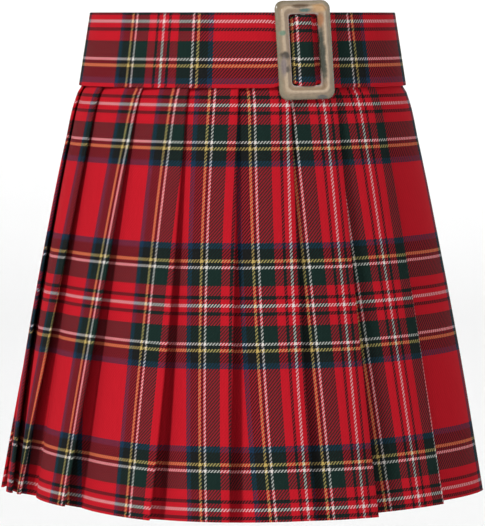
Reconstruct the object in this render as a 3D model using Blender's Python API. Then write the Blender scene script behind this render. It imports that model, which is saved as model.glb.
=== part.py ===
"""A women's knife-pleated tartan skirt with a wide belt and a slide buckle, open as if worn.

Metres, +Z up. The front faces -Y and +X is to the right of the front view. The origin is at the
centre of the waist, level with the belt's upper edge.
"""

import math
from collections import namedtuple

import bmesh
import bpy
import numpy as np
from mathutils import Matrix, Vector

# Cloth
WALL = 0.0012
LAYER_STEP = 0.0017
SEAM_GAP = 0.0003
SEAM_SHARE = 0.6

# Belt, along its outer face
BELT_HALF_WIDTH = 0.1263
BELT_DEPTH_RATIO = 0.78
BELT_FLARE = 0.157
BELT_HEIGHT = 0.060
BELT_WALL = 0.0016
BELT_EDGE_ROUND = 0.0008
BELT_STEP = math.radians(5.0)

# Waistband, inside the belt
WAISTBAND_WALL = 0.0018
WAISTBAND_TOP = -0.0015
WAISTBAND_BOTTOM = -0.0500
WAISTBAND_CLEARANCE = 0.0004
WAISTBAND_POINTS = 72

# Pleated skirt
PLEATS = 18
PLEATS_IN_FRONT = 9
PLEAT_TOP = WAISTBAND_BOTTOM - SEAM_GAP
BELT_LEVEL = -BELT_HEIGHT
MIDDLE_LEVEL = -0.155
HEM_LEVEL = -0.399
RING_LEVELS = (
    PLEAT_TOP, -0.0604, -0.0640, -0.070, -0.085, -0.106,
    -0.140, -0.190, -0.240, -0.290, -0.345, HEM_LEVEL,
)
UNDERLAY_AT_BELT = 0.78
UNDERLAY_AT_HEM = 0.62
GAP_POWER = 1.2
# How fast a face comes up to its crease, and how far its start hangs lower for each metre it falls back
SINK_POWER = 2.0
DROP_SHARE = 0.2

# The outline at each level: half width, depth to the front and the back, and how much its corners draw in
Section = namedtuple("Section", "height half_width front_depth back_depth squeeze")
SECTIONS = (
    Section(-0.0503, 0.1321, 0.1026, 0.1026, 0.00),
    Section(-0.0604, 0.1336, 0.1038, 0.1038, 0.00),
    Section(-0.0640, 0.1362, 0.1060, 0.1062, 0.00),
    Section(-0.070, 0.1386, 0.1076, 0.1082, 0.01),
    Section(-0.106, 0.1474, 0.1175, 0.1215, 0.04),
    Section(-0.190, 0.1650, 0.1345, 0.1430, 0.11),
    Section(-0.290, 0.1842, 0.1520, 0.1590, 0.18),
    Section(HEM_LEVEL, 0.2028, 0.1690, 0.1710, 0.24),
)

# The creases that show from the front, from left to right: their angle from the front centre at the belt,
# the middle and the hem, how far the next pleat falls back at the hem, and the hem's rise on each side
Crease = namedtuple("Crease", "belt middle hem gap rise_at rise_past")
FRONT_CREASES = (
    Crease(-82.0, -81.0, -71.0, 0.006, 0.0040, 0.0040),
    Crease(-59.0, -60.0, -65.0, 0.013, 0.0050, 0.0050),
    Crease(-37.5, -39.5, -45.5, 0.017, 0.0025, 0.0025),
    Crease(-19.0, -19.0, -21.5, 0.017, -0.0010, 0.0000),
    Crease(-1.5, -2.0, -3.0, 0.015, 0.0000, 0.0000),
    Crease(16.0, 15.5, 16.5, 0.007, 0.0000, -0.0005),
    Crease(33.0, 32.0, 32.5, 0.017, -0.0015, 0.0015),
    Crease(53.5, 53.0, 54.0, 0.013, 0.0015, 0.0030),
    Crease(80.0, 80.5, 81.5, 0.014, 0.0030, 0.0030),
)
BACK_GAP = 0.0100
BACK_RISE = 0.0010

# How far the back creases stray from even: by how much, and how fast the stray turns from one to the next
Stray = namedtuple("Stray", "most turn")
ANGLE_STRAY = Stray(1.2, 2.3)
GAP_STRAY = Stray(0.0040, 1.7)
RISE_STRAY = Stray(0.0012, 2.9)

# Slide buckle, in its own frame: X across the belt's run, Y outward, Z up the belt
BUCKLE_ANGLE = math.radians(21.8)
BUCKLE_LEVEL = -BELT_HEIGHT / 2
BUCKLE_WIDTH = 0.0465
BUCKLE_HEIGHT = 0.0799
BUCKLE_OPENING_WIDTH = 0.0249
BUCKLE_OPENING_HEIGHT = 0.0572
BUCKLE_OUTER_RADIUS = 0.0072
BUCKLE_INNER_RADIUS = 0.0030
BUCKLE_STAND_OFF = 0.0020
CORNER_STEPS = 5
CENTRE_BAR_WIDTH = 0.0040
CENTRE_BAR_BACK = 0.0002
CENTRE_BAR_FRONT = 0.0020
CENTRE_BAR_SINK = 0.0015
ProfilePoint = namedtuple("ProfilePoint", "share height")
BUCKLE_PROFILE = (
    ProfilePoint(0.00, 0.0000),
    ProfilePoint(0.00, 0.0028),
    ProfilePoint(0.08, 0.0038),
    ProfilePoint(0.26, 0.0038),
    ProfilePoint(0.38, 0.0045),
    ProfilePoint(0.74, 0.0045),
    ProfilePoint(0.92, 0.0036),
    ProfilePoint(1.00, 0.0022),
    ProfilePoint(1.00, 0.0000),
)

# The belt's free end, from its tip leftward: how far along from the buckle's centre, how far it lifts off
# the belt's level, and how much its edges draw in to pass the opening
BeltStep = namedtuple("BeltStep", "along lift draw_in")
FREE_END = (
    BeltStep(0.0205, 0.00195, 0.0028),
    BeltStep(0.0165, 0.00195, 0.0028),
    BeltStep(0.0125, 0.00185, 0.0028),
    BeltStep(0.0105, 0.00210, 0.0033),
    BeltStep(0.0085, 0.00330, 0.0033),
    BeltStep(0.0060, 0.00520, 0.0028),
    BeltStep(0.0030, 0.00630, 0.0028),
    BeltStep(0.0000, 0.00645, 0.0028),
    BeltStep(-0.0030, 0.00630, 0.0028),
    BeltStep(-0.0060, 0.00520, 0.0028),
    BeltStep(-0.0085, 0.00330, 0.0033),
    BeltStep(-0.0105, 0.00210, 0.0033),
    BeltStep(-0.0125, 0.00175, 0.0028),
    BeltStep(-0.0175, 0.00150, 0.0028),
    BeltStep(-0.0240, 0.00090, 0.0006),
    BeltStep(-0.0320, 0.00020, 0.0000),
)
FIXED_END_ALONG = 0.0140

Finish = namedtuple("Finish", "colour roughness")
TARTAN_RED = Finish((0.29, 0.022, 0.032, 1.0), 0.85)
TARTAN_DEEP_RED = Finish((0.25, 0.018, 0.028, 1.0), 0.85)
TARTAN_BLACK = Finish((0.02, 0.022, 0.024, 1.0), 0.9)
HORN_RESIN = Finish((0.40, 0.27, 0.15, 1.0), 0.25)


def clear_scene():
    for item in list(bpy.data.objects):
        bpy.data.objects.remove(item, do_unlink=True)


def finish_object(name, mesh, finish):
    """Links a mesh as an object in its own plain material, smooth but for its sharp edges."""
    material = bpy.data.materials.new(name)
    material.use_nodes = True
    shader = material.node_tree.nodes["Principled BSDF"]
    shader.inputs["Base Color"].default_value = finish.colour
    shader.inputs["Roughness"].default_value = finish.roughness
    shader.inputs["Metallic"].default_value = 0.0
    mesh.materials.append(material)
    mesh.shade_smooth()
    mesh.set_sharp_from_angle(angle=math.radians(35.0))
    made = bpy.data.objects.new(name, mesh)
    bpy.context.collection.objects.link(made)
    return made


def column_at(rows, column, height):
    """One column of a table at a height, on a smooth curve through its rows."""
    heights = np.array([row.height for row in rows])
    values = np.array([getattr(row, column) for row in rows])
    slopes = np.gradient(values, heights)
    row = int(np.clip(np.searchsorted(-heights, -height) - 1, 0, len(rows) - 2))
    span = heights[row + 1] - heights[row]
    t = min(max((height - heights[row]) / span, 0.0), 1.0)
    start, end = values[row], values[row + 1]
    bend = span * t * (1 - t) * ((1 - t) * slopes[row] - t * slopes[row + 1])
    return start + (end - start) * t * t * (3 - 2 * t) + bend


def section_point(section, angle, depth):
    """A point of a level outline at an angle from the front centre, moved outward by a depth."""
    reach = section.front_depth if math.cos(angle) >= 0 else section.back_depth
    pull = 1 - section.squeeze * math.sin(angle) ** 2
    place = Vector((section.half_width * math.sin(angle), -reach * math.cos(angle) * pull))
    along_x = section.half_width * math.cos(angle)
    along_y = reach * math.sin(angle) * (pull + 2 * section.squeeze * math.cos(angle) ** 2)
    outward = Vector((along_y, -along_x)).normalized()
    return place + outward * depth


def arc_scale(section, angle):
    """Metres of outline for each radian at an angle."""
    nudge = 0.001
    ahead = section_point(section, angle + nudge, 0.0)
    behind = section_point(section, angle - nudge, 0.0)
    return (ahead - behind).length / (2 * nudge)


def skirt_section(height):
    """The skirt's outline at a height, along the middle of its outermost layer."""
    half = WALL / 2
    return Section(
        height,
        column_at(SECTIONS, "half_width", height) - half,
        column_at(SECTIONS, "front_depth", height) - half,
        column_at(SECTIONS, "back_depth", height) - half,
        column_at(SECTIONS, "squeeze", height),
    )


def belt_section(height, depth):
    """The belt's outline at a height, a depth outward of its outer face."""
    half_width = BELT_HALF_WIDTH - BELT_FLARE * height
    reach = half_width * BELT_DEPTH_RATIO + depth
    return Section(height, half_width + depth, reach, reach, 0.0)


def all_creases():
    """The front creases, and even ones that close the ring behind."""
    creases = list(FRONT_CREASES)
    first, last = FRONT_CREASES[0], FRONT_CREASES[-1]
    unseen = PLEATS - len(FRONT_CREASES)
    for k in range(1, unseen + 1):
        share = k / (unseen + 1)
        stray = [each.most * math.sin(each.turn * k) for each in (ANGLE_STRAY, GAP_STRAY, RISE_STRAY)]
        at = [
            getattr(last, level) * (1 - share) + (getattr(first, level) + 360.0) * share + stray[0]
            for level in ("belt", "middle", "hem")
        ]
        gap, rise = BACK_GAP + stray[1], BACK_RISE + stray[2]
        creases.append(Crease(*at, gap, rise, rise))
    return creases


CREASES = all_creases()


def fall_share(height):
    """Zero at the belt and one at the hem."""
    return max(0.0, (BELT_LEVEL - height) / (BELT_LEVEL - HEM_LEVEL))


def sink(share):
    """How far a face has sunk at a share of its width: wholly at its start, not at its own crease."""
    return (1 - share) ** SINK_POWER


def crease(number):
    return CREASES[number % PLEATS]


def crease_angle(number, height):
    """A crease's angle in radians at a height, on a curve through its three levels."""
    this = crease(number)
    middle = fall_share(MIDDLE_LEVEL)
    h = fall_share(height)
    bent = (
        this.belt * (h - middle) * (h - 1) / middle
        + this.middle * h * (h - 1) / (middle * (middle - 1))
        + this.hem * h * (h - middle) / (1 - middle)
    )
    return math.radians(bent + 360.0 * (number // PLEATS))


LayerPoint = namedtuple("LayerPoint", "angle depth rise")


def pleat_points(number, height, section):
    """The middle line of one pleat at a height, from under the crease before it to its inner fold."""
    h = fall_share(height)
    before, at = crease_angle(number - 1, height), crease_angle(number, height)
    earlier = crease_angle(number - 2, height)
    start_share = 1 - (UNDERLAY_AT_BELT + (UNDERLAY_AT_HEM - UNDERLAY_AT_BELT) * h)
    gap_before = crease(number - 1).gap * h**GAP_POWER
    gap_earlier = crease(number - 2).gap * h**GAP_POWER
    fall = 2 * LAYER_STEP + gap_before
    fall_earlier = 2 * LAYER_STEP + gap_earlier
    drop, drop_earlier = DROP_SHARE * gap_before, DROP_SHARE * gap_earlier
    rise_past = crease(number - 1).rise_past * h
    rise_at = crease(number).rise_at * h
    rise_before = crease(number - 1).rise_at * h
    rise_earlier = crease(number - 2).rise_past * h
    turn = LAYER_STEP / 2 / arc_scale(section, at)

    def face(share):
        rise = rise_past + (rise_at - rise_past) * share - drop * sink(share)
        return LayerPoint(before + (at - before) * share, -fall * sink(share), rise)

    def tucked(share):
        """The start of the face, below the pleat before it."""
        along = (share - start_share) / (1 - start_share)
        depth = -fall_earlier * sink(share) - 2 * LAYER_STEP - gap_before * along
        over = rise_earlier + (rise_before - rise_earlier) * share - drop_earlier * sink(share)
        return LayerPoint(
            earlier + (before - earlier) * share, depth, over + (rise_past - drop - over) * along
        )

    def below(point, depth, angle=0.0):
        return LayerPoint(point.angle + angle, point.depth - depth, point.rise)

    fold, crown = face(start_share), face(1.0)
    return [
        tucked(SEAM_SHARE),
        tucked(1.0),
        face(start_share),
        face(SEAM_SHARE),
        below(crown, 0.0, -turn),
        below(crown, LAYER_STEP / 2),
        below(crown, LAYER_STEP, -turn),
        below(face(SEAM_SHARE), LAYER_STEP),
        below(fold, LAYER_STEP, turn),
        below(fold, LAYER_STEP * 1.5),
        below(fold, LAYER_STEP * 2, turn),
    ]


def panel_points(first, count, height):
    """The middle line of a run of pleats, from the seam under one side to the seam under the other."""
    section = skirt_section(height)
    inner_fold_points = 3
    points = pleat_points(first - 1, height, section)[-inner_fold_points - 1:]
    for number in range(first, first + count):
        points += pleat_points(number, height, section)
    points = points[:-inner_fold_points]
    nudge = SEAM_GAP / 2 / arc_scale(section, points[0].angle)
    points[0] = points[0]._replace(angle=points[0].angle - nudge)
    nudge = SEAM_GAP / 2 / arc_scale(section, points[-1].angle)
    points[-1] = points[-1]._replace(angle=points[-1].angle + nudge)
    return section, points


def offset_line(line, distance, closed):
    """A level line moved to its right by a distance, with square corners kept in bounds."""
    count = len(line)
    moved = []
    for i, place in enumerate(line):
        after = line[(i + 1) % count] if closed or i + 1 < count else None
        before = line[i - 1] if closed or i > 0 else None
        ahead = (after - place).normalized() if after else (place - before).normalized()
        behind = (place - before).normalized() if before else ahead
        right_ahead = Vector((ahead.y, -ahead.x))
        right_behind = Vector((behind.y, -behind.x))
        mitre = (right_ahead + right_behind).normalized()
        moved.append(place + mitre * distance / max(mitre.dot(right_ahead), 0.6))
    return moved


def wall_mesh(name, outer, inner, closed):
    """A closed wall between two grids of points, each a list of level rows from the top down."""
    body = bmesh.new()
    grids = [[[body.verts.new(p) for p in row] for row in grid] for grid in (outer, inner)]
    rows, columns = len(outer), len(outer[0])
    runs = columns if closed else columns - 1
    for grid, points in zip(grids, (outer, inner)):
        for r in range(rows - 1):
            for i in range(runs):
                j = (i + 1) % columns
                upper, next_upper = grid[r][i], grid[r][j]
                lower, next_lower = grid[r + 1][i], grid[r + 1][j]
                turn = points[r][i].xy.to_3d().cross(points[r][j].xy.to_3d()).z
                if turn > 0:
                    body.faces.new((upper, next_upper, next_lower))
                    body.faces.new((upper, next_lower, lower))
                else:
                    body.faces.new((upper, next_upper, lower))
                    body.faces.new((next_upper, next_lower, lower))
    for r in (0, rows - 1):
        for i in range(runs):
            j = (i + 1) % columns
            body.faces.new((grids[0][r][i], grids[0][r][j], grids[1][r][j], grids[1][r][i]))
    if not closed:
        for i in (0, columns - 1):
            for r in range(rows - 1):
                body.faces.new((grids[0][r][i], grids[0][r + 1][i], grids[1][r + 1][i], grids[1][r][i]))
    bmesh.ops.recalc_face_normals(body, faces=body.faces)
    mesh = bpy.data.meshes.new(name)
    body.to_mesh(mesh)
    body.free()
    return mesh


def make_skirt_panel(name, first, count, finish):
    """One cut panel of the skirt: a run of knife pleats down to the hem."""
    outer, inner = [], []
    for height in RING_LEVELS:
        section, points = panel_points(first, count, height)
        line = [section_point(section, p.angle, p.depth) for p in points]
        for grid, distance in ((outer, WALL / 2), (inner, -WALL / 2)):
            moved = offset_line(line, distance, closed=False)
            grid.append([Vector((m.x, m.y, height + p.rise)) for m, p in zip(moved, points)])
    return finish_object(name, wall_mesh(name, outer, inner, closed=False), finish)


def make_waistband(finish):
    """The plain band behind the belt that the pleats hang from."""
    name = "waistband"
    outer, inner = [], []
    for height in (WAISTBAND_TOP, WAISTBAND_BOTTOM):
        for grid, depth in ((outer, 0.0), (inner, WAISTBAND_WALL)):
            section = belt_section(height, -BELT_WALL - WAISTBAND_CLEARANCE - depth)
            row = []
            for k in range(WAISTBAND_POINTS):
                place = section_point(section, 2 * math.pi * k / WAISTBAND_POINTS, 0.0)
                row.append(Vector((place.x, place.y, height)))
            grid.append(row)
    return finish_object(name, wall_mesh(name, outer, inner, closed=True), finish)


def belt_run():
    """Angle, lift and drawn-in edge along the belt, from its free tip round to its fixed end."""
    middle = belt_section(-BELT_HEIGHT / 2, -BELT_WALL / 2)
    scale = arc_scale(middle, BUCKLE_ANGLE)
    run = [(BUCKLE_ANGLE + step.along / scale, step.lift, step.draw_in) for step in FREE_END]
    end = BUCKLE_ANGLE + FIXED_END_ALONG / scale - 2 * math.pi
    steps = round((run[-1][0] - end) / BELT_STEP)
    start = run[-1][0]
    for k in range(1, steps + 1):
        run.append((start + (end - start) * k / steps, 0.0, 0.0))
    return list(reversed(run))


def make_belt(finish):
    """The belt, which passes through the buckle and over its bar and ends behind its right side."""
    name = "belt"
    run = belt_run()
    outer, inner = [], []
    edge = BELT_EDGE_ROUND
    rows = (
        (0.0, edge / 2),
        (-edge, 0.0),
        (-BELT_HEIGHT + edge, 0.0),
        (-BELT_HEIGHT, edge / 2),
    )
    for height, thinner in rows:
        half = BELT_WALL / 2
        section = belt_section(height, -half)
        line = [section_point(section, angle, lift) for angle, lift, _ in run]
        side = 1 if height > -BELT_HEIGHT / 2 else -1
        for grid, distance in ((outer, half - thinner), (inner, -half + thinner)):
            moved = offset_line(line, distance, closed=False)
            grid.append(
                [Vector((m.x, m.y, height - side * drawn)) for m, (_, _, drawn) in zip(moved, run)]
            )
    return finish_object(name, wall_mesh(name, outer, inner, closed=False), finish)


def rounded_rectangle(half_width, half_height, radius):
    """Points round an upright rectangle with round corners, anticlockwise from its right side."""
    points = []
    for quarter in range(4):
        across = 1 if quarter in (0, 3) else -1
        up = 1 if quarter in (0, 1) else -1
        for step in range(CORNER_STEPS):
            angle = math.pi / 2 * (quarter + step / (CORNER_STEPS - 1))
            points.append(
                (
                    across * (half_width - radius) + radius * math.cos(angle),
                    up * (half_height - radius) + radius * math.sin(angle),
                )
            )
    return points


def buckle_frame():
    """The buckle's place: X along the belt's run, Y outward, Z up the slope of the belt."""
    centre = section_point(belt_section(BUCKLE_LEVEL, 0.0), BUCKLE_ANGLE, 0.0)
    above = section_point(belt_section(0.0, 0.0), BUCKLE_ANGLE, 0.0)
    ahead = section_point(belt_section(BUCKLE_LEVEL, 0.0), BUCKLE_ANGLE + 0.001, 0.0)
    up = Vector((above.x - centre.x, above.y - centre.y, -BUCKLE_LEVEL)).normalized()
    run = Vector((ahead.x - centre.x, ahead.y - centre.y, 0.0)).normalized()
    outward = run.cross(up).normalized()
    run = up.cross(outward)
    turn = Matrix((run, outward, up)).transposed()
    start = Vector((centre.x, centre.y, BUCKLE_LEVEL)) + outward * BUCKLE_STAND_OFF
    return Matrix.Translation(start) @ turn.to_4x4()


def centre_bar_cutter(place):
    """The bar across the opening, which the belt runs over."""
    half_height = BUCKLE_OPENING_HEIGHT / 2 + CENTRE_BAR_SINK
    body = bmesh.new()
    bmesh.ops.create_cube(body, size=1.0)
    size = Vector((CENTRE_BAR_WIDTH, CENTRE_BAR_FRONT - CENTRE_BAR_BACK, 2 * half_height))
    bmesh.ops.scale(body, vec=size, verts=body.verts)
    middle = Vector((0.0, (CENTRE_BAR_FRONT + CENTRE_BAR_BACK) / 2, 0.0))
    bmesh.ops.translate(body, vec=middle, verts=body.verts)
    mesh = bpy.data.meshes.new("centre_bar")
    body.to_mesh(mesh)
    body.free()
    bar = bpy.data.objects.new("centre_bar", mesh)
    bar.matrix_world = place
    bar.hide_render = True
    bar.display_type = "WIRE"
    bpy.context.collection.objects.link(bar)
    return bar


def make_buckle(finish):
    """The moulded ring of the slide buckle, joined to its centre bar."""
    name = "buckle"
    place = buckle_frame()
    body = bmesh.new()
    loops = []
    for point in BUCKLE_PROFILE:
        share = point.share
        half_width = (BUCKLE_OPENING_WIDTH * (1 - share) + BUCKLE_WIDTH * share) / 2
        half_height = (BUCKLE_OPENING_HEIGHT * (1 - share) + BUCKLE_HEIGHT * share) / 2
        radius = BUCKLE_INNER_RADIUS * (1 - share) + BUCKLE_OUTER_RADIUS * share
        outline = rounded_rectangle(half_width, half_height, radius)
        loops.append([body.verts.new((x, point.height, z)) for x, z in outline])
    count = len(loops[0])
    for k in range(len(loops)):
        this, following = loops[k], loops[(k + 1) % len(loops)]
        for i in range(count):
            j = (i + 1) % count
            body.faces.new((this[i], this[j], following[j], following[i]))
    bmesh.ops.recalc_face_normals(body, faces=body.faces)
    mesh = bpy.data.meshes.new(name)
    body.to_mesh(mesh)
    body.free()
    made = finish_object(name, mesh, finish)
    made.matrix_world = place
    union = made.modifiers.new("centre bar", "BOOLEAN")
    union.operation = "UNION"
    union.solver = "EXACT"
    union.object = centre_bar_cutter(place)
    return made


def main():
    clear_scene()
    make_skirt_panel("skirt_front", 0, PLEATS_IN_FRONT, TARTAN_RED)
    make_skirt_panel("skirt_back", PLEATS_IN_FRONT, PLEATS - PLEATS_IN_FRONT, TARTAN_DEEP_RED)
    make_waistband(TARTAN_BLACK)
    make_belt(TARTAN_RED)
    make_buckle(HORN_RESIN)


main()
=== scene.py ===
"""The looks of a knife-pleated tartan skirt with a wide belt and a slide buckle, open as if worn.

Metres, +Z up. The front faces -Y and +X is to the right of the front view. The origin is at the
centre of the waist, level with the belt's upper edge.
"""

import math
from collections import namedtuple

import bmesh
import bpy
import numpy as np
from mathutils import Matrix, Vector


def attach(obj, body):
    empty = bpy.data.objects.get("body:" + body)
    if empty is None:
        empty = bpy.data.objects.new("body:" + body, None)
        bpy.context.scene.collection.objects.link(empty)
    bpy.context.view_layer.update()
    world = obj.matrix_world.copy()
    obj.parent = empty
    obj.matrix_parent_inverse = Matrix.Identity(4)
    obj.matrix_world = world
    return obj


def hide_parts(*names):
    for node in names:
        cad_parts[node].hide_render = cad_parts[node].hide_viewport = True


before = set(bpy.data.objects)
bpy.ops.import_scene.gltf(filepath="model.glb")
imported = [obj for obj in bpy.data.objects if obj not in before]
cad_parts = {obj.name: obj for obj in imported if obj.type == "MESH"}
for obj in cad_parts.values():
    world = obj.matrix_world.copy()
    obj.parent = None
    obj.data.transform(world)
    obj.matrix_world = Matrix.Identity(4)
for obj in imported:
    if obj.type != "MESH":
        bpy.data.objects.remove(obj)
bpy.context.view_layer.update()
ROOT = "root"

# Cloth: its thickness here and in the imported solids, and from the middle of one pleat layer to the next
WALL = 0.0008
SOLID_WALL = 0.0012
LAYER_STEP = 0.0017
SEAM_GAP = 0.0003
# How deep the hem is turned up, and how much that thickens it
HEM_TURN = 0.024
HEM_TURN_EXTRA = 0.0003
SMOOTH_CLOTH = math.radians(50.0)
# A wall's corner is drawn out to at most one over this
LEAST_MITRE = 0.6
# How much of a band's half wall its edges round off, and the rows of points in that curve
EDGE_ROUNDING = 0.9
EDGE_ROWS = 5
# A step small enough to give a direction, in radians
NUDGE = 0.001

# Belt, along its outer face
BELT_HALF_WIDTH = 0.1263
BELT_DEPTH_RATIO = 0.78
BELT_FLARE = 0.157
BELT_HEIGHT = 0.060
BELT_WALL = 0.0016
BELT_ROWS = 26
BELT_STEPS = 220
FREE_END_SPACING = 0.0007

# Waistband, inside the belt
WAISTBAND_WALL = 0.0018
WAISTBAND_TOP = -0.0015
WAISTBAND_BOTTOM = -0.0500
WAISTBAND_CLEARANCE = 0.0004
WAISTBAND_ROWS = 12
WAISTBAND_STEPS = 240

# Pleated skirt
PLEATS = 18
PLEATS_IN_FRONT = 9
PLEAT_TOP = WAISTBAND_BOTTOM - SEAM_GAP
BELT_LEVEL = -BELT_HEIGHT
MIDDLE_LEVEL = -0.155
HEM_LEVEL = -0.399
RINGS = 92
SLANT_STEPS = 400
# The fold under each pleat as a share of the pleat's width, its usual length, and how much of that lies
# between a crease and a panel's side edge
UNDERLAY_AT_BELT = 0.78
UNDERLAY_AT_HEM = 0.62
UNDERLAY_LENGTH = 0.030
SEAM_SHARE = 0.6
# How fast the gap behind a crease opens from the belt to the hem
GAP_POWER = 1.2
# How fast a face comes up to its crease, and how far its start hangs lower for each metre it falls back
SINK_POWER = 2.0
DROP_SHARE = 0.2

# The outline at each level: half width, depth to the front and the back, and how much its corners draw in
Section = namedtuple("Section", "height half_width front_depth back_depth squeeze")
SECTIONS = (
    Section(-0.0503, 0.1321, 0.1026, 0.1026, 0.00),
    Section(-0.0604, 0.1336, 0.1038, 0.1038, 0.00),
    Section(-0.0640, 0.1362, 0.1060, 0.1062, 0.00),
    Section(-0.070, 0.1386, 0.1076, 0.1082, 0.01),
    Section(-0.106, 0.1474, 0.1175, 0.1215, 0.04),
    Section(-0.190, 0.1650, 0.1345, 0.1430, 0.11),
    Section(-0.290, 0.1842, 0.1520, 0.1590, 0.18),
    Section(HEM_LEVEL, 0.2028, 0.1690, 0.1710, 0.24),
)

# The creases that show from the front, from left to right: their angle from the front centre at the belt,
# the middle and the hem, how far the next pleat falls back at the hem, the hem's rise on each side, and
# how far the cloth runs from its paired white stripe to the crease at the three levels
COLUMNS = "belt middle hem gap rise_at rise_past stripe_belt stripe_middle stripe_hem"
Crease = namedtuple("Crease", COLUMNS)
FRONT_CREASES = (
    Crease(-82.0, -81.0, -71.0, 0.006, 0.0040, 0.0040, -0.0185, -0.0155, -0.0100),
    Crease(-59.0, -60.0, -65.0, 0.013, 0.0050, 0.0050, -0.0095, -0.0075, 0.0000),
    Crease(-37.5, -39.5, -45.5, 0.017, 0.0025, 0.0025, 0.0000, 0.0030, 0.0025),
    Crease(-19.0, -19.0, -21.5, 0.017, -0.0010, 0.0000, 0.0080, 0.0145, 0.0180),
    Crease(-1.5, -2.0, -3.0, 0.015, 0.0000, 0.0000, 0.0185, 0.0220, 0.0185),
    Crease(16.0, 15.5, 16.5, 0.007, 0.0000, -0.0005, 0.0285, 0.0310, 0.0315),
    Crease(33.0, 32.0, 32.5, 0.017, -0.0015, 0.0015, 0.0375, 0.0370, 0.0395),
    Crease(53.5, 53.0, 54.0, 0.013, 0.0015, 0.0030, 0.0490, 0.0505, 0.0530),
    Crease(80.0, 80.5, 81.5, 0.014, 0.0030, 0.0030, -0.0095, -0.0080, -0.0065),
)
BACK_GAP = 0.0100
BACK_RISE = 0.0010

# How far the back creases stray from even: by how much, and how fast the stray turns from one to the next
Stray = namedtuple("Stray", "most turn")
ANGLE_STRAY = Stray(1.2, 2.3)
GAP_STRAY = Stray(0.0040, 1.7)
RISE_STRAY = Stray(0.0012, 2.9)
STRIPE_DRIFT = 0.0085

# Tartan: one repeat across and down, in metres, and its stripes from the pivot to the middle of the red
WARP_SETT = 0.1372
WEFT_SETT = 0.1608
THREADS_PER_SETT = 216
PAIRED_WHITE = 0.375
FIRST_WEFT_PIVOT = -0.0735
Stripe = namedtuple("Stripe", "start thread")
SETT = (
    Stripe(0.0, "white"),
    Stripe(0.013, "red"),
    Stripe(0.060, "black"),
    Stripe(0.096, "red"),
    Stripe(0.193, "green"),
    Stripe(0.360, "white"),
    Stripe(0.389, "black"),
    Stripe(0.424, "yellow"),
    Stripe(0.455, "black"),
    Stripe(0.562, "blue"),
    Stripe(0.621, "red"),
)
THREADS = {
    "red": (0.41, 0.0070, 0.0150, 1.0),
    "black": (0.0080, 0.0085, 0.0085, 1.0),
    "green": (0.0065, 0.0185, 0.0150, 1.0),
    "blue": (0.0080, 0.0250, 0.0560, 1.0),
    "white": (0.60, 0.55, 0.52, 1.0),
    "yellow": (0.44, 0.31, 0.09, 1.0),
}

# Rows for noise, and for greys that shade a colour: how far they range above their darkest
Clouds = namedtuple("Clouds", "scale detail roughness")
Shade = namedtuple("Shade", "range darkest")

# Crossed threads are mixed as a picture's values are, by this power
DISPLAY_GAMMA = 2.2

# Twill: threads to a repeat, the part of it where the warp lies on top, its ribs with painted shade in the
# grooves between them, and its streaks
TWILL_REPEAT = 4.0
WARP_ON_TOP = 0.45
RIB_GROOVE_PAINTED_SHADE = Shade(0.16, 0.9)
RIB_BUMP = {"Strength": 0.35, "Distance": 0.0002}
STREAK_STRETCH = (1500.0, 60.0, 1.0)
STREAK_CLOUDS = Clouds(1.0, 2.0, 0.5)
STREAK_SHADE = Shade(0.3, 0.85)
TWILL_FINISH = {"Roughness": 0.92, "Specular IOR Level": 0.08}

# Slide buckle, in its own frame: X across the belt's run, Y outward, Z up the belt
BUCKLE_ANGLE = math.radians(21.8)
BUCKLE_LEVEL = -BELT_HEIGHT / 2
BUCKLE_WIDTH = 0.0465
BUCKLE_HEIGHT = 0.0799
BUCKLE_OPENING_WIDTH = 0.0249
BUCKLE_OPENING_HEIGHT = 0.0572
BUCKLE_OUTER_RADIUS = 0.0072
BUCKLE_INNER_RADIUS = 0.0030
BUCKLE_STAND_OFF = 0.0020
CORNER_STEPS = 12
SMOOTH_RESIN = math.radians(40.0)
CENTRE_BAR_WIDTH = 0.0040
CENTRE_BAR_BACK = 0.0002
CENTRE_BAR_FRONT = 0.0020
CENTRE_BAR_SINK = 0.0015
ProfilePoint = namedtuple("ProfilePoint", "share height")
BUCKLE_PROFILE = (
    ProfilePoint(0.03, 0.0000),
    ProfilePoint(0.00, 0.0003),
    ProfilePoint(0.00, 0.0024),
    ProfilePoint(0.02, 0.0029),
    ProfilePoint(0.06, 0.0031),
    ProfilePoint(0.15, 0.0031),
    ProfilePoint(0.19, 0.0033),
    ProfilePoint(0.34, 0.0043),
    ProfilePoint(0.38, 0.0045),
    ProfilePoint(0.46, 0.0046),
    ProfilePoint(0.54, 0.0045),
    ProfilePoint(0.58, 0.0042),
    ProfilePoint(0.62, 0.0037),
    ProfilePoint(0.68, 0.0035),
    ProfilePoint(0.86, 0.0032),
    ProfilePoint(0.94, 0.0027),
    ProfilePoint(0.985, 0.0019),
    ProfilePoint(1.00, 0.0010),
    ProfilePoint(0.985, 0.0003),
    ProfilePoint(0.95, 0.0000),
)
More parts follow.
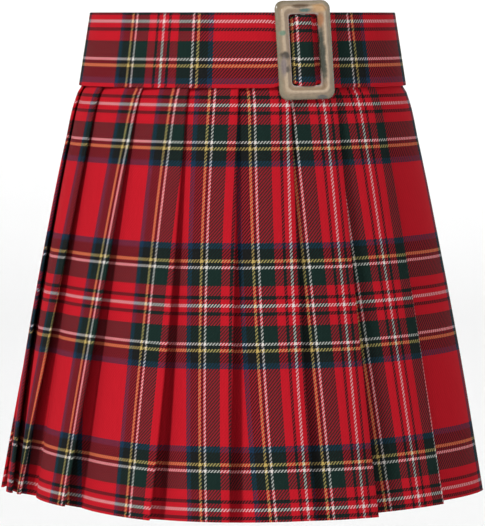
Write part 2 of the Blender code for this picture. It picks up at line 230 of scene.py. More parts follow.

# Shades of the resin from the ring's inner lip to its outer edge, with a painted highlight in the light
# bands along the ridge, and patches of other shades on it
Band = namedtuple("Band", "share colour")
RESIN_TONES_AND_RIDGE_HIGHLIGHT = (
    Band(0.03, (0.33, 0.25, 0.22, 1.0)),
    Band(0.12, (0.27, 0.18, 0.11, 1.0)),
    Band(0.34, (0.31, 0.22, 0.14, 1.0)),
    # Painted highlight: these light bands lie along the ring's raised ridge
    Band(0.42, (0.45, 0.34, 0.23, 1.0)),
    Band(0.52, (0.40, 0.30, 0.20, 1.0)),
    Band(0.64, (0.26, 0.19, 0.12, 1.0)),
    Band(0.95, (0.17, 0.14, 0.09, 1.0)),
)
Patch = namedtuple("Patch", "across up half_width half_height colour")
RESIN_PATCHES = (
    Patch(-0.0185, 0.0135, 0.0035, 0.0025, (0.13, 0.20, 0.13, 1.0)),
    Patch(-0.0175, -0.0040, 0.0050, 0.0040, (0.05, 0.035, 0.02, 1.0)),
    Patch(-0.0165, -0.0155, 0.0045, 0.0040, (0.08, 0.055, 0.035, 1.0)),
    Patch(-0.0190, -0.0130, 0.0030, 0.0090, (0.17, 0.13, 0.12, 1.0)),
    Patch(-0.0020, 0.0350, 0.0080, 0.0022, (0.12, 0.075, 0.04, 1.0)),
    Patch(0.0010, 0.0315, 0.0060, 0.0018, (0.07, 0.14, 0.12, 1.0)),
    Patch(0.0130, 0.0330, 0.0070, 0.0040, (0.46, 0.27, 0.12, 1.0)),
    Patch(0.0140, -0.0040, 0.0032, 0.0260, (0.030, 0.032, 0.018, 1.0)),
    Patch(0.0140, 0.0235, 0.0032, 0.0060, (0.28, 0.12, 0.045, 1.0)),
    Patch(0.0120, -0.0385, 0.0055, 0.0025, (0.085, 0.08, 0.07, 1.0)),
)

# How far clouds move the bands, as a share of the ring, and a patch's edge, in its half widths, and where
# that edge is wholly clear and wholly coloured
BAND_CLOUDS = Clouds(110.0, 4.0, 0.6)
BAND_STRAY = 0.16
PATCH_STRAY = 1.2
PATCH_CLEAR = 1.15
PATCH_COLOURED = 0.45
RESIN_CLOUDS = Clouds(420.0, 3.0, 0.5)
RESIN_SHADE = Shade(0.5, 0.75)
RESIN_FINISH = {"Roughness": 0.22, "Coat Weight": 0.5, "Coat Roughness": 0.08}

# The belt's free end, from its tip leftward: how far along from the buckle's centre, how far it lifts off
# the belt's level, and how much its edges draw in to pass the opening
BeltStep = namedtuple("BeltStep", "along lift draw_in")
FREE_END = (
    BeltStep(0.0205, 0.00195, 0.0028),
    BeltStep(0.0165, 0.00195, 0.0028),
    BeltStep(0.0125, 0.00185, 0.0028),
    BeltStep(0.0105, 0.00210, 0.0033),
    BeltStep(0.0085, 0.00330, 0.0033),
    BeltStep(0.0060, 0.00520, 0.0018),
    BeltStep(0.0030, 0.00630, 0.0018),
    BeltStep(0.0000, 0.00645, 0.0018),
    BeltStep(-0.0030, 0.00630, 0.0018),
    BeltStep(-0.0060, 0.00520, 0.0018),
    BeltStep(-0.0085, 0.00330, 0.0033),
    BeltStep(-0.0105, 0.00210, 0.0033),
    BeltStep(-0.0125, 0.00175, 0.0028),
    BeltStep(-0.0175, 0.00150, 0.0028),
    BeltStep(-0.0240, 0.00090, 0.0006),
    BeltStep(-0.0320, 0.00020, 0.0000),
    BeltStep(-0.0400, 0.00000, 0.0000),
)
FIXED_END_ALONG = 0.0140
BELT_WARP_PIVOT = math.radians(-29.57)
BELT_WEFT_PIVOT = -0.0069
FIXED_END_WHITE = math.radians(41.71)

# Camera, set to the photo's angle, and its picture
IMAGE_WIDTH = 485
IMAGE_HEIGHT = 526
FOCAL_PIXELS = 3123.8
SENSOR = 36.0
CAMERA_PLACE = (0.0, -2.5958, 0.0039)
CAMERA_PITCH = 0.08153
CAMERA_REACH = 200.0

# Studio
FLOOR_LEVEL = -0.95
FLOOR_RADIUS = 7.0
BACKDROP_RISE = 4.0
BACKDROP_STEPS = 12
FLOOR_STEPS = 96
SAME_POINT = 0.001
FLOOR_FINISH = {"Base Color": (0.93, 0.93, 0.93, 1.0), "Roughness": 0.9, "Specular IOR Level": 0.0}
WORLD_STRENGTH = 0.15

# Soft suns: how far each is turned from the front, raised and spread, in degrees, and its power
Sun = namedtuple("Sun", "name turn climb spread power")
SUNS = (
    Sun("key", -44.0, 32.0, 10.0, 2.7),
    Sun("fill", 48.0, 28.0, 50.0, 0.6),
    Sun("back", 168.0, 30.0, 50.0, 1.9),
)


def column_at(rows, column, height):
    """One column of a table at a height, on a smooth curve through its rows."""
    heights = np.array([row.height for row in rows])
    values = np.array([getattr(row, column) for row in rows])
    return curve_through(heights, values, height)


def curve_through(places, values, at):
    """A smooth curve through values at falling places, read at one place."""
    slopes = np.gradient(values, places)
    row = int(np.clip(np.searchsorted(-places, -at) - 1, 0, len(places) - 2))
    span = places[row + 1] - places[row]
    t = min(max((at - places[row]) / span, 0.0), 1.0)
    start, end = values[row], values[row + 1]
    bend = span * t * (1 - t) * ((1 - t) * slopes[row] - t * slopes[row + 1])
    return start + (end - start) * t * t * (3 - 2 * t) + bend


def section_points(section, angles, depths):
    """Points of a level outline at angles from the front centre, moved outward by depths."""
    sines, cosines = np.sin(angles), np.cos(angles)
    reach = np.where(cosines >= 0, section.front_depth, section.back_depth)
    pull = 1 - section.squeeze * sines**2
    x = section.half_width * sines
    y = -reach * cosines * pull
    along_x = section.half_width * cosines
    along_y = reach * sines * (pull + 2 * section.squeeze * cosines**2)
    length = np.hypot(along_x, along_y)
    return np.stack([x + along_y / length * depths, y - along_x / length * depths], axis=-1)


def arc_scale(section, angle):
    """Metres of outline for each radian at an angle."""
    pair = section_points(section, np.array([angle - NUDGE, angle + NUDGE]), 0.0)
    return float(np.linalg.norm(pair[1] - pair[0])) / (2 * NUDGE)


def skirt_section(height):
    """The skirt's outline at a height, along the middle of its outermost layer."""
    half = SOLID_WALL / 2
    return Section(
        height,
        column_at(SECTIONS, "half_width", height) - half,
        column_at(SECTIONS, "front_depth", height) - half,
        column_at(SECTIONS, "back_depth", height) - half,
        column_at(SECTIONS, "squeeze", height),
    )


def belt_section(height, depth):
    """The belt's outline at a height, a depth outward of its outer face."""
    half_width = BELT_HALF_WIDTH - BELT_FLARE * height
    reach = half_width * BELT_DEPTH_RATIO + depth
    return Section(height, half_width + depth, reach, reach, 0.0)


def all_creases():
    """The front creases, and even ones that close the ring behind."""
    creases = list(FRONT_CREASES)
    first, last = FRONT_CREASES[0], FRONT_CREASES[-1]
    unseen = PLEATS - len(FRONT_CREASES)
    for k in range(1, unseen + 1):
        share = k / (unseen + 1)
        stray = [each.most * math.sin(each.turn * k) for each in (ANGLE_STRAY, GAP_STRAY, RISE_STRAY)]
        at = [
            getattr(last, level) * (1 - share) + (getattr(first, level) + 360.0) * share + stray[0]
            for level in ("belt", "middle", "hem")
        ]
        gap, rise = BACK_GAP + stray[1], BACK_RISE + stray[2]
        stripe = STRIPE_DRIFT * k
        creases.append(Crease(*at, gap, rise, rise, stripe, stripe, stripe))
    return creases


CREASES = all_creases()


def fall_share(height):
    """Zero at the belt and one at the hem."""
    return max(0.0, (BELT_LEVEL - height) / (BELT_LEVEL - HEM_LEVEL))


def sink(share):
    """How far a face has sunk at a share of its width: wholly at its start, not at its own crease."""
    return (1 - share) ** SINK_POWER


def crease(number):
    """A crease by its number, counted on round the ring."""
    return CREASES[number % PLEATS]


def bent_column(at_belt, at_middle, at_hem, height):
    """A value at a height, on a curve through those of its three levels."""
    middle = fall_share(MIDDLE_LEVEL)
    h = fall_share(height)
    return (
        at_belt * (h - middle) * (h - 1) / middle
        + at_middle * h * (h - 1) / (middle * (middle - 1))
        + at_hem * h * (h - middle) / (1 - middle)
    )


def crease_angle(number, height):
    """A crease's angle in radians at a height."""
    this = crease(number)
    return math.radians(bent_column(this.belt, this.middle, this.hem, height) + 360.0 * (number // PLEATS))


def crease_stripe(number, height):
    """How far the cloth runs at a height from its paired white stripe to a crease."""
    this = crease(number)
    return bent_column(this.stripe_belt, this.stripe_middle, this.stripe_hem, height)


# Points across one pleat: those of its start below the pleat before it, of its face, of the crease's
# round edge, of the underlay, and of the inner fold's round edge
TUCKED_POINTS = 9
FACE_POINTS = 15
CREASE_POINTS = 5
UNDERLAY_POINTS = 9
FOLD_POINTS = 5
PLEAT_POINTS = TUCKED_POINTS + FACE_POINTS + CREASE_POINTS + UNDERLAY_POINTS + FOLD_POINTS
CREST = TUCKED_POINTS + FACE_POINTS + CREASE_POINTS // 2
# How many radii of its edge before the crease a face's points end
FACE_END = 1.5


def pleat_line(number, height, section):
    """The middle line of one pleat at a height, from under the crease before it to its inner fold."""
    h = fall_share(height)
    before, at = crease_angle(number - 1, height), crease_angle(number, height)
    earlier = crease_angle(number - 2, height)
    start_share = 1 - (UNDERLAY_AT_BELT + (UNDERLAY_AT_HEM - UNDERLAY_AT_BELT) * h)
    gap_before = crease(number - 1).gap * h**GAP_POWER
    gap_earlier = crease(number - 2).gap * h**GAP_POWER
    fall = 2 * LAYER_STEP + gap_before
    fall_earlier = 2 * LAYER_STEP + gap_earlier
    drop, drop_earlier = DROP_SHARE * gap_before, DROP_SHARE * gap_earlier
    rise_past = crease(number - 1).rise_past * h
    rise_at = crease(number).rise_at * h
    rise_before = crease(number - 1).rise_at * h
    rise_earlier = crease(number - 2).rise_past * h
    radius = LAYER_STEP / 2
    turn = radius / arc_scale(section, at)

    def face(share):
        return np.stack(
            [
                before + (at - before) * share,
                -fall * sink(share),
                rise_past + (rise_at - rise_past) * share - drop * sink(share),
            ],
            axis=-1,
        )

    def tucked(share):
        along = (share - start_share) / (1 - start_share)
        over = rise_earlier + (rise_before - rise_earlier) * share - drop_earlier * sink(share)
        return np.stack(
            [
                earlier + (before - earlier) * share,
                -fall_earlier * sink(share) - 2 * LAYER_STEP - gap_before * along,
                over + (rise_past - drop - over) * along,
            ],
            axis=-1,
        )

    span = 1 - start_share
    tuck_shares = start_share + span * (np.arange(TUCKED_POINTS) + 0.5) / TUCKED_POINTS
    face_shares = np.arange(FACE_POINTS) / FACE_POINTS * (1 - FACE_END * turn / (at - before))
    crown, fold = face(np.array(1.0)), face(np.array(start_share))
    bends = math.pi * np.arange(CREASE_POINTS) / (CREASE_POINTS - 1)
    crease_edge = crown + np.stack(
        [turn * (np.sin(bends) - 1), radius * (np.cos(bends) - 1), 0 * bends], axis=-1
    )
    under_shares = 1 - span * (np.arange(UNDERLAY_POINTS) + 0.5) / UNDERLAY_POINTS
    underlay = face(under_shares) - np.array([0, LAYER_STEP, 0])
    bends = math.pi * np.arange(FOLD_POINTS) / (FOLD_POINTS - 1)
    fold_edge = fold + np.stack(
        [turn * (1 - np.sin(bends)), radius * (np.cos(bends) - 1) - LAYER_STEP, 0 * bends], axis=-1
    )
    return np.concatenate([tucked(tuck_shares), face(face_shares), crease_edge, underlay, fold_edge])


def panel_ring(first, count, height):
    """The middle line of a run of pleats at a height, with the place of each point across the cloth."""
    section = skirt_section(height)
    runs = [pleat_line(k, height, section) for k in range(first - 1, first + count)]
    tail = FOLD_POINTS + UNDERLAY_POINTS // 2
    line = np.concatenate([runs[0][-tail:], *runs[1:]])[: -tail - 1]
    places = section_points(section, line[:, 0], line[:, 1])
    lengths = np.concatenate([[0.0], np.cumsum(np.linalg.norm(np.diff(places, axis=0), axis=1))])
    across = np.zeros(len(line))
    for k in range(count + 1):
        crest = tail + (k - 1) * PLEAT_POINTS + CREST
        fold = tail + k * PLEAT_POINTS - (FOLD_POINTS + 1) // 2
        start = max(0, fold - PLEAT_POINTS)
        stop = fold if k < count else len(line)
        crest_length = lengths[crest] if k else lengths[0] - SEAM_SHARE * UNDERLAY_LENGTH
        at_crest = -PAIRED_WHITE * WARP_SETT / 2 + crease_stripe(first - 1 + k, height)
        across[start:stop] = at_crest + lengths[start:stop] - crest_length
    return section, line, places, across


def right_of(places, closed):
    """Unit directions to the right of a level line, drawn out at its corners to keep the wall even."""
    if closed:
        steps = np.roll(places, -1, axis=0) - places
        before = np.roll(steps, 1, axis=0)
    else:
        steps = np.diff(places, axis=0)
        before = np.concatenate([steps[:1], steps])
        steps = np.concatenate([steps, steps[-1:]])
    steps = steps / np.linalg.norm(steps, axis=1)[:, None]
    before = before / np.linalg.norm(before, axis=1)[:, None]
    right = np.stack([steps[:, 1], -steps[:, 0]], axis=-1)
    mitre = right + np.stack([before[:, 1], -before[:, 0]], axis=-1)
    mitre /= np.linalg.norm(mitre, axis=1)[:, None]
    return mitre / np.maximum((mitre * right).sum(axis=1), LEAST_MITRE)[:, None]


def wall_object(name, outer, inner, cloth, closed=False):
    """A closed wall between two grids of points, rows by columns, with its place in the cloth."""
    rows, columns = outer.shape[:2]
    points = np.concatenate([outer.reshape(-1, 3), inner.reshape(-1, 3)])
    index = np.arange(rows * columns).reshape(rows, columns)
    if closed:
        index = np.concatenate([index, index[:, :1]], axis=1)
    a, b, c, d = index[:-1, :-1], index[:-1, 1:], index[1:, 1:], index[1:, :-1]
    back = rows * columns
    faces = [np.stack([a, d, c, b], axis=-1), np.stack([a, b, c, d], axis=-1) + back]
    for row, flip in ((index[0], False), (index[-1], True)):
        edge = np.stack([row[:-1], row[1:], row[1:] + back, row[:-1] + back], axis=-1)
        faces.append(edge[:, ::-1] if flip else edge)
    if not closed:
        for column, flip in ((index[:, 0], True), (index[:, -1], False)):
            edge = np.stack([column[:-1], column[1:], column[1:] + back, column[:-1] + back], axis=-1)
            faces.append(edge[:, ::-1] if flip else edge)
    quads = np.concatenate([f.reshape(-1, 4) for f in faces])
    mesh = bpy.data.meshes.new(name)
    mesh.from_pydata(points.tolist(), [], quads.tolist())
    spots = np.tile(cloth.reshape(-1, 2), (2, 1))
    corners = np.empty(len(mesh.loops), dtype=np.int32)
    mesh.loops.foreach_get("vertex_index", corners)
    layer = mesh.uv_layers.new(name="cloth")
    layer.uv.foreach_set("vector", spots[corners].astype(np.float32).ravel())
    mesh.shade_smooth()
    mesh.set_sharp_from_angle(angle=SMOOTH_CLOTH)
    made = bpy.data.objects.new(name, mesh)
    bpy.context.collection.objects.link(made)
    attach(made, ROOT)
    return made


def slant_lengths(heights):
    """Cloth length down the front from the first weft pivot, at each height."""
    fine = np.linspace(heights[0], heights[-1], SLANT_STEPS)
    depth = np.array([column_at(SECTIONS, "front_depth", z) for z in fine])
    steps = np.hypot(np.diff(fine), np.diff(depth))
    length = np.concatenate([[0.0], np.cumsum(steps)])
    down = np.interp(-heights, -fine, length)
    return down - np.interp(-FIRST_WEFT_PIVOT, -fine, length)


def make_panel(name, first, count, material):
    """One cut panel of the skirt: a run of knife pleats with a turned hem."""
    heights = np.linspace(PLEAT_TOP, HEM_LEVEL, RINGS)
    down = slant_lengths(heights)
    outer, inner, cloth = [], [], []
    for height, v in zip(heights, down):
        section, line, places, across = panel_ring(first, count, height)
        right = right_of(places, closed=False)
        turned = HEM_TURN_EXTRA if height < HEM_LEVEL + HEM_TURN else 0.0
        level = (height + line[:, 2])[:, None]
        outer.append(np.hstack([places + right * WALL / 2, level]))
        inner.append(np.hstack([places - right * (WALL / 2 + turned), level]))
        cloth.append(np.stack([across, np.full(len(across), v)], axis=-1))
    made = wall_object(name, np.array(outer), np.array(inner), np.array(cloth))
    made.data.materials.append(material)
    return made


def edge_rows(top, bottom, radius, count):
    """Heights down a band with how much thinner its wall is at each, round at both edges."""
    rows = []
    for bend in np.linspace(0.0, math.pi / 2, EDGE_ROWS):
        rows.append((top - radius * (1 - math.cos(bend)), radius * (1 - math.sin(bend))))
    for share in np.linspace(0.0, 1.0, count)[1:-1]:
        rows.append((top - radius + (bottom - top + 2 * radius) * share, 0.0))
    for bend in np.linspace(math.pi / 2, 0.0, EDGE_ROWS):
        rows.append((bottom + radius * (1 - math.cos(bend)), radius * (1 - math.sin(bend))))
    return rows


def make_waistband(material):
    """The plain band behind the belt that the pleats hang from."""
    angles = np.linspace(0.0, 2 * math.pi, WAISTBAND_STEPS, endpoint=False)
    outer, inner, cloth = [], [], []
    lengths = angles * (BELT_HALF_WIDTH * (1 + BELT_DEPTH_RATIO) / 2)
    half = WAISTBAND_WALL / 2
    rows = edge_rows(WAISTBAND_TOP, WAISTBAND_BOTTOM, half * EDGE_ROUNDING, WAISTBAND_ROWS)
    for height, thinner in rows:
        section = belt_section(height, -BELT_WALL - WAISTBAND_CLEARANCE - half)
        places = section_points(section, angles, 0.0)
        right = right_of(places, closed=True)
        level = np.full((len(angles), 1), height)
        outer.append(np.hstack([places + right * (half - thinner), level]))
        inner.append(np.hstack([places - right * (half - thinner), level]))
        cloth.append(np.stack([lengths, np.full(len(angles), -height)], axis=-1))
    made = wall_object("waistband_cloth", np.array(outer), np.array(inner), np.array(cloth), closed=True)
    made.data.materials.append(material)
    return made


def belt_run():
    """Angle, lift and drawn-in edge along the belt, from its fixed end round to its free tip."""
    middle = belt_section(-BELT_HEIGHT / 2, -BELT_WALL / 2)
    scale = arc_scale(middle, BUCKLE_ANGLE)
    alongs = np.array([step.along for step in FREE_END])
    lifts = np.array([step.lift for step in FREE_END])
    draws = np.array([step.draw_in for step in FREE_END])
    fine = np.arange(alongs[-1], alongs[0], FREE_END_SPACING)
    free = [
        (BUCKLE_ANGLE + s / scale, curve_through(alongs, lifts, s), curve_through(alongs, draws, s))
        for s in fine
    ]
    start = BUCKLE_ANGLE + FIXED_END_ALONG / scale - 2 * math.pi
    round_angles = np.linspace(start, free[0][0], BELT_STEPS, endpoint=False)
    run = [(angle, 0.0, 0.0) for angle in round_angles] + free
    return np.array(run)


def make_belt(material):
    """The belt, which passes through the buckle and over its bar and ends behind its right side."""
    run = belt_run()
    angles, lifts, draws = run[:, 0], run[:, 1], run[:, 2]
    middle = belt_section(-BELT_HEIGHT / 2, -BELT_WALL / 2)
    places = section_points(middle, angles, lifts)
    lengths = np.concatenate([[0.0], np.cumsum(np.linalg.norm(np.diff(places, axis=0), axis=1))])
    across = lengths - np.interp(BELT_WARP_PIVOT, angles, lengths)
    white = np.interp(FIXED_END_WHITE - 2 * math.pi, angles, lengths)
    fixed = lengths - white + (1 + PAIRED_WHITE / 2) * WARP_SETT
    behind = np.interp(-math.pi, angles, lengths)
    across = np.where(lengths < behind, fixed, across)
    half = BELT_WALL / 2
    outer, inner, cloth = [], [], []
    for height, thinner in edge_rows(0.0, -BELT_HEIGHT, half * EDGE_ROUNDING, BELT_ROWS):
        section = belt_section(height, -half)
        places = section_points(section, angles, lifts)
        right = right_of(places, closed=False)
        toward = (-BELT_HEIGHT / 2 - height) / (BELT_HEIGHT / 2)
        level = (height + draws * toward)[:, None]
        outer.append(np.hstack([places + right * (half - thinner), level]))
        inner.append(np.hstack([places - right * (half - thinner), level]))
        cloth.append(np.stack([across, np.full(len(angles), BELT_WEFT_PIVOT - height)], axis=-1))
    made = wall_object("belt_cloth", np.array(outer), np.array(inner), np.array(cloth))
    made.data.materials.append(material)
    return made


def rounded_rectangle(half_width, half_height, radius):
    """Points round an upright rectangle with round corners, anticlockwise from its right side."""
    points = []
    for quarter in range(4):
        across = 1 if quarter in (0, 3) else -1
        up = 1 if quarter in (0, 1) else -1
        for step in range(CORNER_STEPS):
            angle = math.pi / 2 * (quarter + step / (CORNER_STEPS - 1))
            points.append(
                (
                    across * (half_width - radius) + radius * math.cos(angle),
                    up * (half_height - radius) + radius * math.sin(angle),
                )
            )
    return points


def buckle_frame():
    """The buckle's place: X along the belt's run, Y outward, Z up the slope of the belt."""
    angles = np.array([BUCKLE_ANGLE, BUCKLE_ANGLE + NUDGE])
    centre, ahead = section_points(belt_section(BUCKLE_LEVEL, 0.0), angles, 0.0)
    above = section_points(belt_section(0.0, 0.0), angles, 0.0)[0]
    up = Vector((above[0] - centre[0], above[1] - centre[1], -BUCKLE_LEVEL)).normalized()
    run = Vector((ahead[0] - centre[0], ahead[1] - centre[1], 0.0)).normalized()
    outward = run.cross(up).normalized()
    run = up.cross(outward)
    turn = Matrix((run, outward, up)).transposed()
    start = Vector((centre[0], centre[1], BUCKLE_LEVEL)) + outward * BUCKLE_STAND_OFF
    return Matrix.Translation(start) @ turn.to_4x4()


def make_buckle(material):
    """The moulded ring of the slide buckle, joined to its centre bar."""
    body = bmesh.new()
    share_layer = body.verts.layers.float.new("ring_share")
    place_layer = body.verts.layers.float_vector.new("buckle_place")
    loops = []
    for point in BUCKLE_PROFILE:
        share = point.share
        half_width = (BUCKLE_OPENING_WIDTH * (1 - share) + BUCKLE_WIDTH * share) / 2
        half_height = (BUCKLE_OPENING_HEIGHT * (1 - share) + BUCKLE_HEIGHT * share) / 2
        radius = BUCKLE_INNER_RADIUS * (1 - share) + BUCKLE_OUTER_RADIUS * share
        outline = rounded_rectangle(half_width, half_height, radius)
        loops.append([body.verts.new((x, point.height, z)) for x, z in outline])
        for vert in loops[-1]:
            vert[share_layer] = share
    count = len(loops[0])
    for k in range(len(loops)):
        this, following = loops[k], loops[(k + 1) % len(loops)]
        for i in range(count):
            j = (i + 1) % count
            body.faces.new((this[i], this[j], following[j], following[i]))
    bar = bmesh.ops.create_cube(body, size=1.0)["verts"]
    half_height = BUCKLE_OPENING_HEIGHT / 2 + CENTRE_BAR_SINK
    size = Vector((CENTRE_BAR_WIDTH, CENTRE_BAR_FRONT - CENTRE_BAR_BACK, 2 * half_height))
    bmesh.ops.scale(body, vec=size, verts=bar)
    middle = Vector((0.0, (CENTRE_BAR_FRONT + CENTRE_BAR_BACK) / 2, 0.0))
    bmesh.ops.translate(body, vec=middle, verts=bar)
    bmesh.ops.recalc_face_normals(body, faces=body.faces)
    for vert in body.verts:
        vert[place_layer] = vert.co
    body.transform(buckle_frame())
    mesh = bpy.data.meshes.new("buckle_resin")
    body.to_mesh(mesh)
    body.free()
    mesh.shade_smooth()
    mesh.set_sharp_from_angle(angle=SMOOTH_RESIN)
    made = bpy.data.objects.new("buckle_resin", mesh)
    bpy.context.collection.objects.link(made)
    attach(made, ROOT)
    made.data.materials.append(material)
    return made


class Graph:
    """Short calls that add shader nodes to a material and link them."""

    def __init__(self, name):
        self.material = bpy.data.materials.new(name)
        self.material.use_nodes = True
        self.tree = self.material.node_tree
        self.shader = self.tree.nodes["Principled BSDF"]

    def add(self, kind, inputs=(), **settings):
        node = self.tree.nodes.new(kind)
        for key, value in settings.items():
            setattr(node, key, value)
        for socket, value in dict(inputs).items():
            self.feed(node.inputs[socket], value)
        return node

    def feed(self, socket, value):
        if isinstance(value, bpy.types.NodeSocket):
            self.tree.links.new(value, socket)
        else:
            socket.default_value = value

    def math(self, operation, *values):
        return self.add("ShaderNodeMath", enumerate(values), operation=operation).outputs[0]

    def mix(self, share, first, second, blend="MIX"):
        node = self.add("ShaderNodeMix", data_type="RGBA", blend_type=blend)
        for socket, value in ((0, share), (6, first), (7, second)):
            self.feed(node.inputs[socket], value)
        return node.outputs[2]

    def noise(self, place, scale, detail, roughness):
        inputs = {"Vector": place, "Scale": scale, "Detail": detail, "Roughness": roughness}
        return self.add("ShaderNodeTexNoise", inputs).outputs["Fac"]

    def ramp(self, value, stops, interpolation="LINEAR"):
        node = self.add("ShaderNodeValToRGB", {"Fac": value})
        ramp = node.color_ramp
        ramp.interpolation = interpolation
        while len(ramp.elements) < len(stops):
            ramp.elements.new(0.5)
        for element, (position, colour) in zip(ramp.elements, stops):
            element.position = position
            element.color = colour
        return node.outputs["Color"]

    def shaded(self, colour, shade):
        """A colour multiplied by a grey."""
        grey = self.add("ShaderNodeCombineColor", {0: shade, 1: shade, 2: shade}).outputs[0]
        return self.mix(1.0, colour, grey, "MULTIPLY")

    def set_finish(self, finish):
        """Constant values on the shader's own sockets."""
        for socket, value in finish.items():
            self.shader.inputs[socket].default_value = value


def stripe_colours(graph, along, sett):
    """Thread colours of the sett, which turns back at each pivot."""
    share = graph.math("DIVIDE", graph.math("PINGPONG", along, sett / 2), sett / 2)
    stops = [(stripe.start, THREADS[stripe.thread]) for stripe in SETT]
    return graph.ramp(share, stops, "CONSTANT")


def blend_loss(graph, warp, weft):
    """How much darker crossed threads look than the plain mean of their colours."""
    roots = [
        graph.add("ShaderNodeGamma", {"Color": each, "Gamma": 1 / DISPLAY_GAMMA}).outputs[0]
        for each in (warp, weft)
    ]
    mixed = {"Color": graph.mix(0.5, *roots), "Gamma": DISPLAY_GAMMA}
    seen = graph.add("ShaderNodeGamma", mixed).outputs[0]
    return graph.mix(1.0, seen, graph.mix(0.5, warp, weft), "DIVIDE")


def tartan_material(name):
    """Wool twill in the tartan: warp and weft stripes crossed in a two-and-two twill."""
    graph = Graph(name)
    cloth = graph.add("ShaderNodeUVMap", uv_map="cloth").outputs["UV"]
    split = graph.add("ShaderNodeSeparateXYZ", {"Vector": cloth}).outputs
    across, down = split[0], split[1]
    warp = stripe_colours(graph, across, WARP_SETT)
    weft = stripe_colours(graph, down, WEFT_SETT)
    end = graph.math("MULTIPLY", across, THREADS_PER_SETT / WARP_SETT)
    pick = graph.math("MULTIPLY", down, THREADS_PER_SETT / WEFT_SETT)
    steps = graph.math("ADD", graph.math("FLOOR", end), graph.math("FLOOR", pick))
    phase = graph.math("FRACT", graph.math("DIVIDE", steps, TWILL_REPEAT))
    warp_up = graph.math("LESS_THAN", phase, WARP_ON_TOP)
    colour = graph.mix(warp_up, weft, warp)
    colour = graph.mix(1.0, colour, blend_loss(graph, warp, weft), "MULTIPLY")
    rib = graph.math("FRACT", graph.math("DIVIDE", graph.math("ADD", end, pick), TWILL_REPEAT))
    rib = graph.math("ABSOLUTE", graph.math("SUBTRACT", graph.math("MULTIPLY", rib, 2.0), 1.0))
    stretched = graph.add("ShaderNodeMapping", {"Vector": cloth, "Scale": STREAK_STRETCH})
    streak = graph.noise(stretched.outputs[0], *STREAK_CLOUDS)
    uneven = graph.math("MULTIPLY_ADD", streak, *STREAK_SHADE)
    # Painted shade: the colour darkens in the grooves between the twill's ribs; the streaks are the yarn's
    # own uneven tone
    shade = graph.math("MULTIPLY", graph.math("MULTIPLY_ADD", rib, *RIB_GROOVE_PAINTED_SHADE), uneven)
    graph.feed(graph.shader.inputs["Base Color"], graph.shaded(colour, shade))
    graph.set_finish(TWILL_FINISH)
    bump = graph.add("ShaderNodeBump", {**RIB_BUMP, "Height": rib})
    graph.feed(graph.shader.inputs["Normal"], bump.outputs[0])
    return graph.material


def resin_patch(graph, colour, place, uneven, patch):
    """Lays one soft-edged patch of another shade over the resin."""
    middle = (patch.across, 0.0, patch.up)
    shift = graph.add("ShaderNodeVectorMath", {0: place, 1: middle}, operation="SUBTRACT")
    sizes = (1 / patch.half_width, 0.0, 1 / patch.half_height)
    scaled = graph.add("ShaderNodeVectorMath", {0: shift.outputs[0], 1: sizes}, operation="MULTIPLY")
    length = graph.add("ShaderNodeVectorMath", {0: scaled.outputs[0]}, operation="LENGTH").outputs["Value"]
    nearer = graph.math("SUBTRACT", length, PATCH_STRAY / 2)
    rough = graph.math("MULTIPLY_ADD", uneven, PATCH_STRAY, nearer)
    inputs = {"Value": rough, "From Min": PATCH_CLEAR, "From Max": PATCH_COLOURED}
    mask = graph.add("ShaderNodeMapRange", inputs, interpolation_type="SMOOTHSTEP").outputs[0]
    return graph.mix(mask, colour, patch.colour)


def resin_material():
    """Polished horn-look resin: banded from its inner lip to its outer edge, with a painted highlight
    along its ridge, and with clouds and patches.
    """
    graph = Graph("horn_resin")
    share = graph.add("ShaderNodeAttribute", attribute_name="ring_share").outputs["Fac"]
    place = graph.add("ShaderNodeAttribute", attribute_name="buckle_place").outputs["Vector"]
    cloud = graph.noise(place, *BAND_CLOUDS)
    nearer = graph.math("SUBTRACT", share, BAND_STRAY / 2)
    wander = graph.math("MULTIPLY_ADD", cloud, BAND_STRAY, nearer)
    # The bands include a painted highlight along the ring's ridge
    colour = graph.ramp(wander, RESIN_TONES_AND_RIDGE_HIGHLIGHT)
    for patch in RESIN_PATCHES:
        colour = resin_patch(graph, colour, place, cloud, patch)
    shade = graph.math("MULTIPLY_ADD", graph.noise(place, *RESIN_CLOUDS), *RESIN_SHADE)
    graph.feed(graph.shader.inputs["Base Color"], graph.shaded(colour, shade))
    graph.set_finish(RESIN_FINISH)
    return graph.material


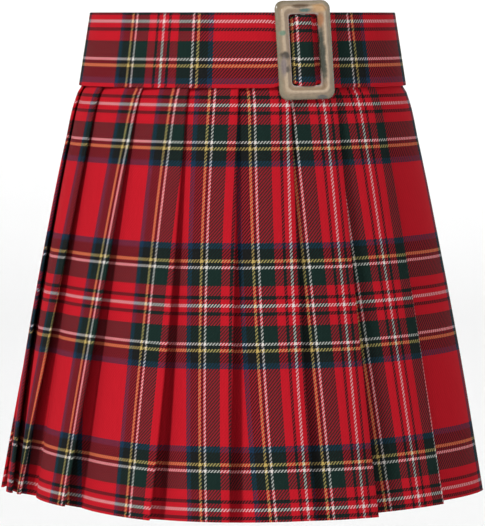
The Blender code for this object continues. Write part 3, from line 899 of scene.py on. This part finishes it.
def make_floor():
    """A round pale floor that curves up at its far edge into a low plain backdrop."""
    bends = np.linspace(0.0, math.pi / 2, BACKDROP_STEPS)
    profile = [(0.0, 0.0), (FLOOR_RADIUS / 2, 0.0)]
    profile += [
        (FLOOR_RADIUS + BACKDROP_RISE * math.sin(bend), BACKDROP_RISE * (1 - math.cos(bend)))
        for bend in bends
    ]
    body = bmesh.new()
    line = [body.verts.new((radius, 0.0, FLOOR_LEVEL + rise)) for radius, rise in profile]
    edges = [body.edges.new(pair) for pair in zip(line, line[1:])]
    bmesh.ops.spin(
        body,
        geom=line + edges,
        axis=(0, 0, 1),
        cent=(0, 0, 0),
        angle=2 * math.pi,
        steps=FLOOR_STEPS,
        use_merge=True,
    )
    bmesh.ops.remove_doubles(body, verts=body.verts, dist=SAME_POINT)
    bmesh.ops.recalc_face_normals(body, faces=body.faces)
    mesh = bpy.data.meshes.new("floor")
    body.to_mesh(mesh)
    body.free()
    mesh.shade_smooth()
    floor = bpy.data.objects.new("floor", mesh)
    bpy.context.collection.objects.link(floor)
    graph = Graph("pale_floor")
    graph.set_finish(FLOOR_FINISH)
    mesh.materials.append(graph.material)


def make_sun(sun):
    """One soft sun of the studio."""
    data = bpy.data.lights.new(sun.name, "SUN")
    data.angle = math.radians(sun.spread)
    data.energy = sun.power
    light = bpy.data.objects.new(sun.name, data)
    light.rotation_euler = (math.radians(90.0 - sun.climb), 0.0, math.radians(sun.turn))
    bpy.context.collection.objects.link(light)


def make_world():
    """Even white light from all round."""
    world = bpy.data.worlds.new("studio")
    world.use_nodes = True
    back = world.node_tree.nodes["Background"]
    back.inputs["Color"].default_value = (1.0, 1.0, 1.0, 1.0)
    back.inputs["Strength"].default_value = WORLD_STRENGTH
    bpy.context.scene.world = world


def make_camera():
    """A camera at the photo's place, angle and view."""
    data = bpy.data.cameras.new("camera")
    data.sensor_width = SENSOR
    data.lens = FOCAL_PIXELS * SENSOR / max(IMAGE_WIDTH, IMAGE_HEIGHT)
    data.clip_end = CAMERA_REACH
    camera = bpy.data.objects.new("camera", data)
    camera.location = CAMERA_PLACE
    camera.rotation_euler = (math.pi / 2 - CAMERA_PITCH, 0.0, 0.0)
    bpy.context.collection.objects.link(camera)
    bpy.context.scene.camera = camera


def main():
    bpy.context.scene.view_settings.view_transform = "Standard"
    make_camera()
    make_world()
    make_floor()
    for sun in SUNS:
        make_sun(sun)
    tartan = tartan_material("tartan_twill")
    front = make_panel("front_cloth", 0, PLEATS_IN_FRONT, tartan)
    back = make_panel("back_cloth", PLEATS_IN_FRONT, PLEATS - PLEATS_IN_FRONT, tartan)
    waistband = make_waistband(tartan)
    belt = make_belt(tartan)
    buckle = make_buckle(resin_material())
    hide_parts("skirt_front")
    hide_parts("skirt_back")
    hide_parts("waistband")
    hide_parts("belt")
    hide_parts("buckle")


main()
